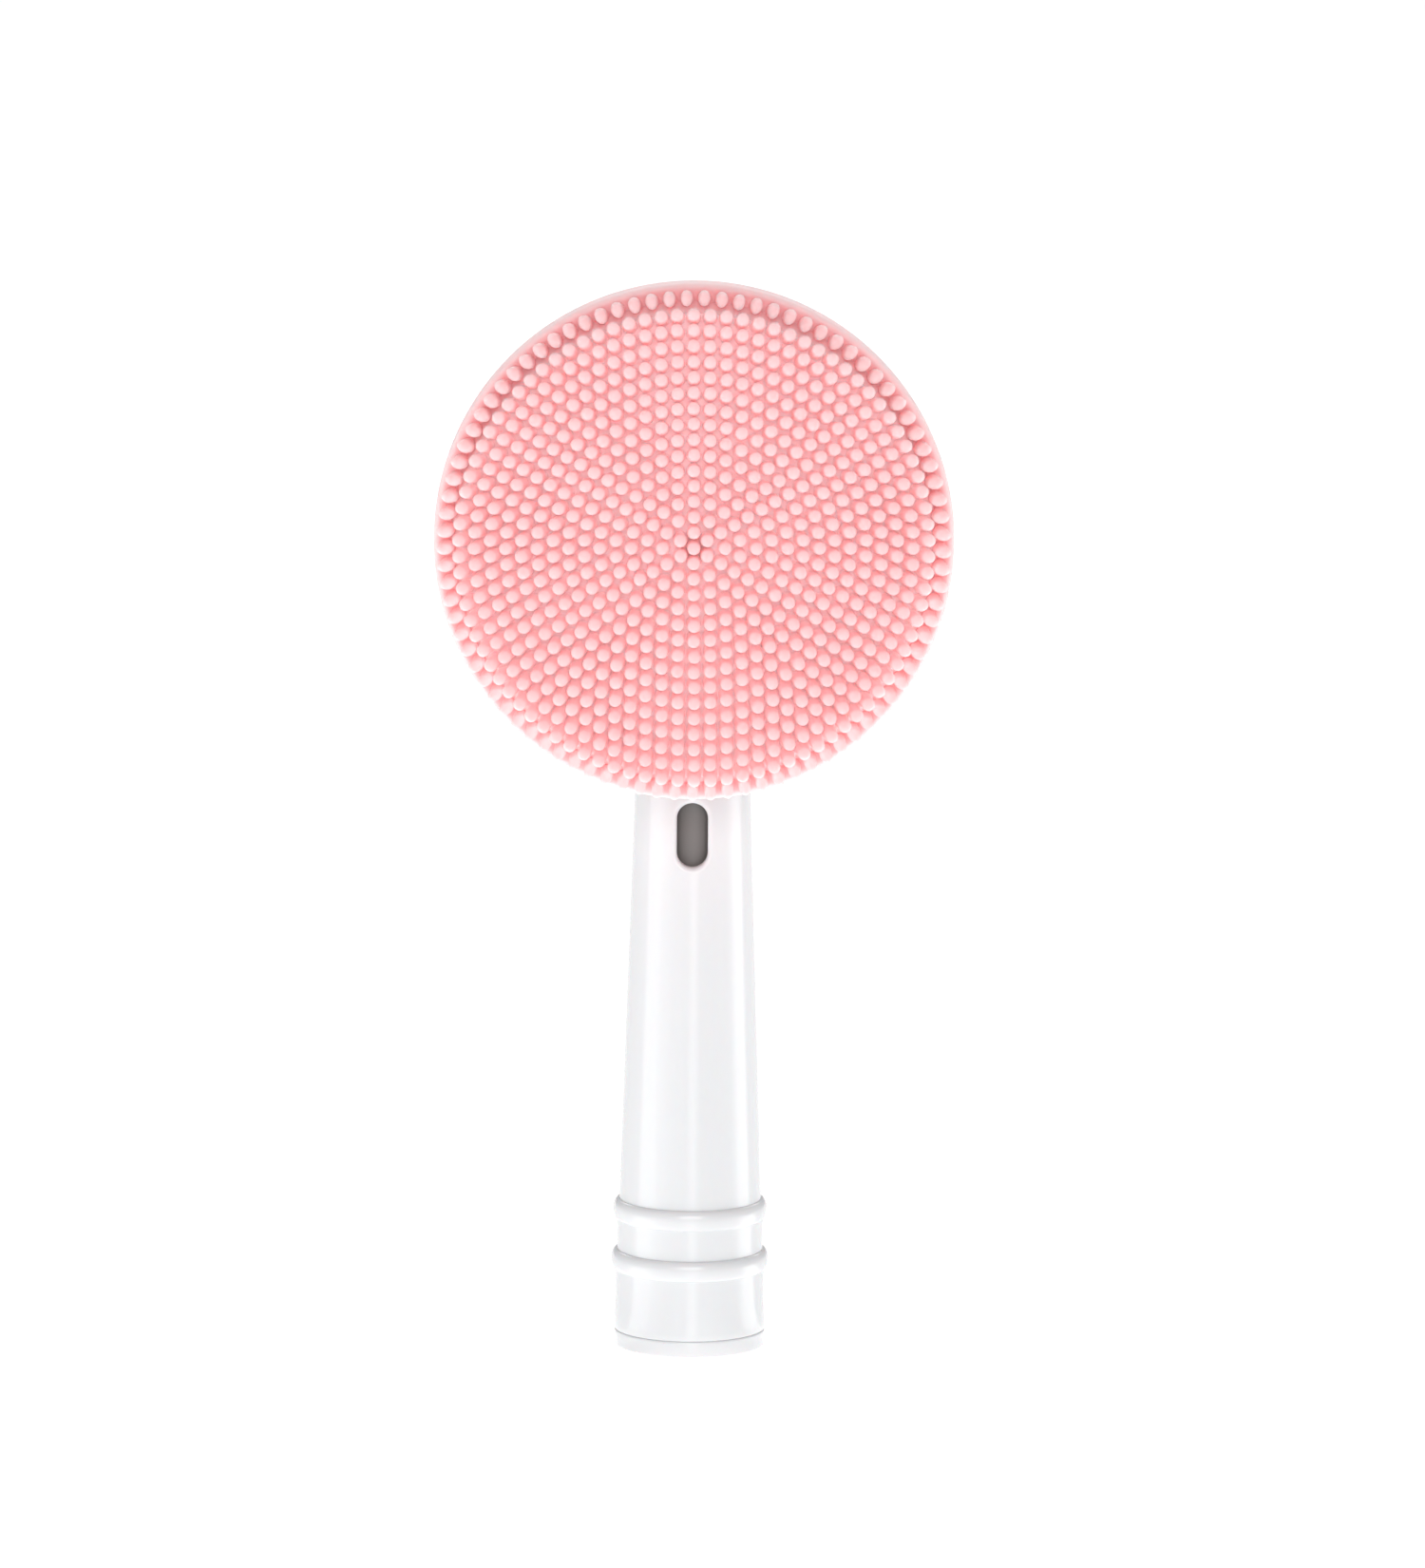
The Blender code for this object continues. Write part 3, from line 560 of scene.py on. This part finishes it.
def make_stem():
    upper = bead(UPPER_BEAD_Z, NECK_FOOT_RADIUS, GROOVE_RADIUS, 7.05 * MM)
    lower = bead(LOWER_BEAD_Z, GROOVE_RADIUS, COLLAR_RADIUS, 7.22 * MM)
    neck = divided([(neck_radius(NECK_END), NECK_END), upper[0]], 1.2 * MM)[:-1]
    foot = [(6.82 * MM, 4.2 * MM), (FOOT_RADIUS - 0.02 * MM, 2.2 * MM)]
    foot += arc(FOOT_RADIUS - 0.14 * MM, TUBE_FOOT + 0.12 * MM, 0.12 * MM, 0.12 * MM, 0, -90, 6)
    profile = [(0, NECK_END)] + neck + upper + lower + foot + [(0, TUBE_FOOT)]
    stem = turned("stem", profile, 160)
    flare_neck(stem)
    corner = CUP_RADIUS - CUP_ROUNDING
    cup = [(0, CUP_FRONT)]
    cup += arc(CUP_RADIUS - 0.3 * MM, CUP_FRONT - 0.3 * MM, 0.3 * MM, 0.3 * MM, 90, 0, 6)
    cup += arc(corner, CUP_BACK + CUP_ROUNDING, CUP_ROUNDING, CUP_ROUNDING, 0, -90, 14)
    change(stem, on_pivot(turned("cup", cup + [(0, CUP_BACK)], 160, twist=0.01)), "UNION")
    shoulder = neck_radius(SOCKET_TOP) - WALL
    bore = [
        (0, BORE_TOP), (neck_radius(BORE_TOP) - WALL + 0.1 * MM, BORE_TOP),
        (shoulder, SOCKET_TOP + 1.5 * MM), (SOCKET_WALL_RADIUS, SOCKET_TOP),
        (SOCKET_WALL_RADIUS, 0), (0, 0),
    ]
    change(stem, turned("bore", bore, 128, twist=0.02), "DIFFERENCE")
    hole = PIN_RADIUS + 0.1 * MM
    pocket = [
        (0, 9 * MM), (POCKET_RADIUS + 0.3 * MM, 9 * MM), (POCKET_RADIUS + 0.3 * MM, CUP_FRONT),
        (POCKET_RADIUS, CUP_FRONT - 0.3 * MM), (POCKET_RADIUS, POCKET_FLOOR), (hole, POCKET_FLOOR),
        (hole, -4.3 * MM), (0, -4.3 * MM),
    ]
    change(stem, on_pivot(turned("pocket", pocket, 128, twist=0.03)), "DIFFERENCE")
    change(stem, window_cutter(), "DIFFERENCE")
    finish_piece(stem, WHITE, "stem", "stem_tube")


def make_foot_ring():
    """The insert in the stem's foot, with the lip that shows under the tube and two keys in its bore."""
    outer, inner = SOCKET_WALL_RADIUS - 0.1 * MM, 5.0 * MM
    ceiling, top, hole = 6.8 * MM, 8.2 * MM, 3.4 * MM
    edge = FOOT_RADIUS - 0.05 * MM
    seam = TUBE_FOOT - 0.02 * MM
    lip = [(outer, top), (outer, seam), (edge, seam), (edge, 0), (inner, 0), (inner, ceiling),
           (hole, ceiling), (hole, top)]
    profile = lip[:1] + rounded(lip[1:7], 0.22 * MM, 5) + lip[7:]
    ring = turned("foot_ring", profile, 160, ring=True)
    for side in (-1, 1):
        ends = sorted((side * (inner - 0.7 * MM), side * (inner + 0.4 * MM)))
        key = block("key", (ends[0], -0.6 * MM, 1.0 * MM), (ends[1], 0.6 * MM, ceiling + 0.4 * MM))
        change(ring, key, "UNION")
    finish_piece(ring, WHITE, "stem", "base_insert")


make_stem()
make_foot_ring()


# --- disc's dish and hub ---
HUB_RADIUS, HUB_BACK, HUB_FRONT = 5.0 * MM, -1.0 * MM, 6.1 * MM
FLANGE_RADIUS, FLANGE_BACK = 6.4 * MM, 5.2 * MM
PIN_HEAD_RADIUS, PIN_HEAD_ROOM = 1.7 * MM, 0.7 * MM
SCREW_CIRCLE, SCREW_HOLE_RADIUS = 3.4 * MM, 0.7 * MM
SLOT_HALF_WIDTH = 1.08 * MM  # the crank ball's radius and its play
DISH_CENTRE_BACK, DISH_CENTRE_FRONT = 6.2 * MM, 7.7 * MM
DISH_RIM_BACK, DISH_RIM_FRONT = 9.25 * MM, 9.95 * MM
DISH_RADIUS, DISH_STEP_RADIUS, DISH_HOLLOW_RADIUS = 21.7 * MM, 19.9 * MM, 18.5 * MM


def cut_screw_holes(obj, low, high):
    radius = SCREW_HOLE_RADIUS
    for angle in map(math.radians, (90, 210, 330)):
        hole = turned("hole", [(0, high), (radius, high), (radius, low), (0, low)], 48, twist=0.05)
        out = Vector((math.cos(angle), math.sin(angle), 0))
        hole.data.transform(Matrix.Translation(SCREW_CIRCLE * out))
        change(obj, hole, "DIFFERENCE")


def make_dish():
    profile = [
        (0, DISH_CENTRE_FRONT), (7.1 * MM, DISH_CENTRE_FRONT),
        (DISH_HOLLOW_RADIUS, DISH_RIM_BACK + 0.1 * MM), (DISH_HOLLOW_RADIUS, DISH_RIM_FRONT),
        (DISH_RADIUS, DISH_RIM_FRONT), (DISH_RADIUS, DISH_RIM_BACK),
        (DISH_STEP_RADIUS, DISH_RIM_BACK), (DISH_STEP_RADIUS, DISH_RIM_BACK - 0.9 * MM),
        (7.4 * MM, DISH_CENTRE_BACK), (0, DISH_CENTRE_BACK),
    ]
    dish = turned("dish", rounded(profile, 0.22 * MM, 4), 180)
    cut_screw_holes(dish, DISH_CENTRE_BACK - 1 * MM, DISH_CENTRE_FRONT + 1 * MM)
    finish_piece(on_pivot(dish), SATIN, "disc", "rear_dish")


def make_hub():
    bore, recess = PIN_RADIUS + RUNNING, PIN_HEAD_RADIUS + RUNNING
    floor = HUB_FRONT - PIN_HEAD_ROOM - RUNNING
    profile = [
        (recess, HUB_FRONT - 0.2 * MM), (recess, HUB_FRONT), (FLANGE_RADIUS, HUB_FRONT),
        (FLANGE_RADIUS, FLANGE_BACK), (HUB_RADIUS, FLANGE_BACK), (HUB_RADIUS, HUB_BACK),
        (bore, HUB_BACK), (bore, floor), (recess, floor), (recess, HUB_FRONT - 0.4 * MM),
    ]
    hub = turned("hub", rounded(profile, 0.16 * MM, 4), 128, ring=True)
    low, high = (-SLOT_HALF_WIDTH, -8 * MM, 0.9 * MM), (SLOT_HALF_WIDTH, -2.6 * MM, 4.1 * MM)
    change(hub, block("slot", low, high), "DIFFERENCE")
    cut_screw_holes(hub, 4.4 * MM, HUB_FRONT + 1 * MM)
    finish_piece(on_pivot(hub), SATIN, "disc", "drive_hub")


# --- drive shaft ---
def make_shaft():
    top, foot = 58.5 * MM, 7.0 * MM
    journal, slim, sleeve, groove, nose = 3.3 * MM, 3.8 * MM, 4.6 * MM, 4.15 * MM, 3.2 * MM
    groove_low, groove_high, sleeve_foot = 13.9 * MM, 17.7 * MM, 8.2 * MM + RUNNING
    profile = [
        (0, top), (journal, top), (journal, 51.7 * MM), (slim, 51.5 * MM), (slim, 33 * MM),
        (sleeve, 29 * MM), (sleeve, groove_high), (groove, groove_high), (groove, groove_low),
        (sleeve, groove_low), (sleeve, sleeve_foot), (nose, sleeve_foot), (nose, foot), (0, foot),
    ]
    shaft = turned("shaft", rounded(profile, 0.2 * MM, 4), 128)
    reach, flat = 2.3 * MM, 1.7 * MM
    start = math.degrees(math.asin(flat / reach))
    outline = arc(0, 0, reach, reach, -start, 180 + start, 49)
    bore = prism("bore", [[(x, y, z) for x, y in outline] for z in (foot - 1 * MM, 29 * MM)])
    change(shaft, bore, "DIFFERENCE")
    low, high = (-1.1 * MM, -5.6 * MM, groove_low), (1.1 * MM, 0, groove_high)
    change(shaft, block("tongue_window", low, high), "DIFFERENCE")
    radius, above, below = 0.7 * MM, top + 1 * MM, top - 9.2 * MM
    hole = [(0, above), (radius, above), (radius, below), (0, below)]
    change(shaft, turned("rod_hole", hole, 48, twist=0.04), "DIFFERENCE")
    finish_piece(shaft, GREY, "drive", "drive_shaft")


make_dish()
make_hub()
make_shaft()

# --- CAD pieces that stay as they are ---
LOOKS = {
    "upper_bush": NATURAL,
    "front_plate": SATIN,
    "grip_clip": STEEL,
    "crank_rod": STEEL,
    "pivot_pin": STEEL,
    "thrust_washer": STEEL,
    "hub_screw_1": STEEL,
    "hub_screw_2": STEEL,
    "hub_screw_3": STEEL,
}
for node, material in LOOKS.items():
    paint(NODES[node], material)
    shade_smooth(NODES[node])


# --- studio ---
# the floor's glow by bearing: degrees from straight in front of the stem, positive to the right
FLOOR_GLOW = [
    (-180, 0.95), (-94, 0.95), (-84, 2.7), (-66, 2.7), (-50, 1.5), (-34, 0.95), (-6, 0.95), (0, 2.6),
    (7, 2.6), (13, 0.95), (66, 0.95), (76, 1.5), (84, 3.3), (104, 3.3), (112, 0.95), (179, 0.95),
]
BRIGHTEST = 4  # the glow that the ramp's white stands for
FOOT_GLOW, FOOT_GLOW_REACH, FLOOR_GLOW_FROM = 1.4, 8 * MM, 22 * MM  # an even glow next to the foot
WORLD_GLOW = 0.34
CAMERA_PLACE = (1.8 * MM, -913.6 * MM, 199.9 * MM)
CAMERA_LENS = 232.8  # mm, on a sensor 36 mm wide
CAMERA_DOWN, CAMERA_ROLL = 9.19, 0.376  # degrees


def add_area(name, place, target, width, height, power):
    light = bpy.data.lights.new(name, "AREA")
    light.shape = "RECTANGLE"
    light.size, light.size_y = width, height
    light.energy = power
    obj = link(bpy.data.objects.new(name, light))
    obj.location = place
    obj.rotation_euler = (Vector(target) - Vector(place)).to_track_quat("-Z", "Y").to_euler()


def make_floor():
    """A white light table. Its glow changes with the bearing, as softboxes around the stem would."""
    bpy.ops.mesh.primitive_plane_add(size=8)
    floor = bpy.context.object
    floor.name = "floor"
    look = Look("white_floor", 0.6)
    look.shader.inputs["Base Color"].default_value = (0.2, 0.2, 0.2, 1)
    look.shader.inputs["Specular IOR Level"].default_value = 0.0
    look.shader.inputs["Emission Color"].default_value = (1, 1, 1, 1)
    around = look.nodes.new("ShaderNodeTexGradient")
    around.gradient_type = "RADIAL"
    look.links.new(look.place, around.inputs["Vector"])
    ramp = look.nodes.new("ShaderNodeValToRGB")
    ramp.color_ramp.interpolation = "EASE"
    for stop in list(ramp.color_ramp.elements)[1:]:
        ramp.color_ramp.elements.remove(stop)
    for index, (bearing, glow) in enumerate(FLOOR_GLOW):
        share = ((bearing + 90) % 360) / 360
        if index == 0:
            stop = ramp.color_ramp.elements[0]
            stop.position = share
        else:
            stop = ramp.color_ramp.elements.new(share)
        stop.color = (glow / BRIGHTEST, glow / BRIGHTEST, glow / BRIGHTEST, 1)
    look.links.new(around.outputs["Fac"], ramp.inputs["Fac"])
    strength = look.spread(ramp.outputs["Color"], 0, BRIGHTEST, 0, 1)
    near_foot = look.nodes.new("ShaderNodeMix")
    away = look.spread(look.length(look.place), 0, 1, FOOT_GLOW_REACH, FLOOR_GLOW_FROM)
    look.links.new(away, near_foot.inputs["Factor"])
    near_foot.inputs["A"].default_value = FOOT_GLOW
    look.links.new(strength, near_foot.inputs["B"])
    look.links.new(near_foot.outputs["Result"], look.shader.inputs["Emission Strength"])
    paint(floor, look.material)


def make_studio():
    make_floor()
    world = bpy.data.worlds.new("studio")
    world.use_nodes = True
    background = world.node_tree.nodes["Background"]
    background.inputs["Color"].default_value = (1, 1, 1, 1)
    background.inputs["Strength"].default_value = WORLD_GLOW
    bpy.context.scene.world = world
    add_area("front_key", (0.03, -1.25, 0.48), (0, 0, 0.06), 0.8, 0.6, 6.9)
    add_area("top_softbox", (0.0, -0.35, 1.0), (0, 0, 0.06), 0.9, 0.6, 1.0)
    add_area("back_softbox", (0.0, 0.7, 0.65), (0, 0, 0.08), 0.9, 0.5, 5.5)


def make_camera():
    data = bpy.data.cameras.new("camera")
    data.sensor_width = 36
    data.lens = CAMERA_LENS
    data.clip_start = 0.01
    camera = link(bpy.data.objects.new("camera", data))
    tilt = Matrix.Rotation(math.radians(90 - CAMERA_DOWN), 4, "X")
    roll = Matrix.Rotation(math.radians(CAMERA_ROLL), 4, "Z")
    camera.matrix_world = Matrix.Translation(CAMERA_PLACE) @ tilt @ roll
    bpy.context.scene.camera = camera


make_studio()
make_camera()
bpy.context.scene.view_settings.view_transform = "Standard"
bpy.context.scene.view_settings.look = "None"
bpy.context.scene.cycles.diffuse_bounces = 12  # so that light reaches the bristles' roots
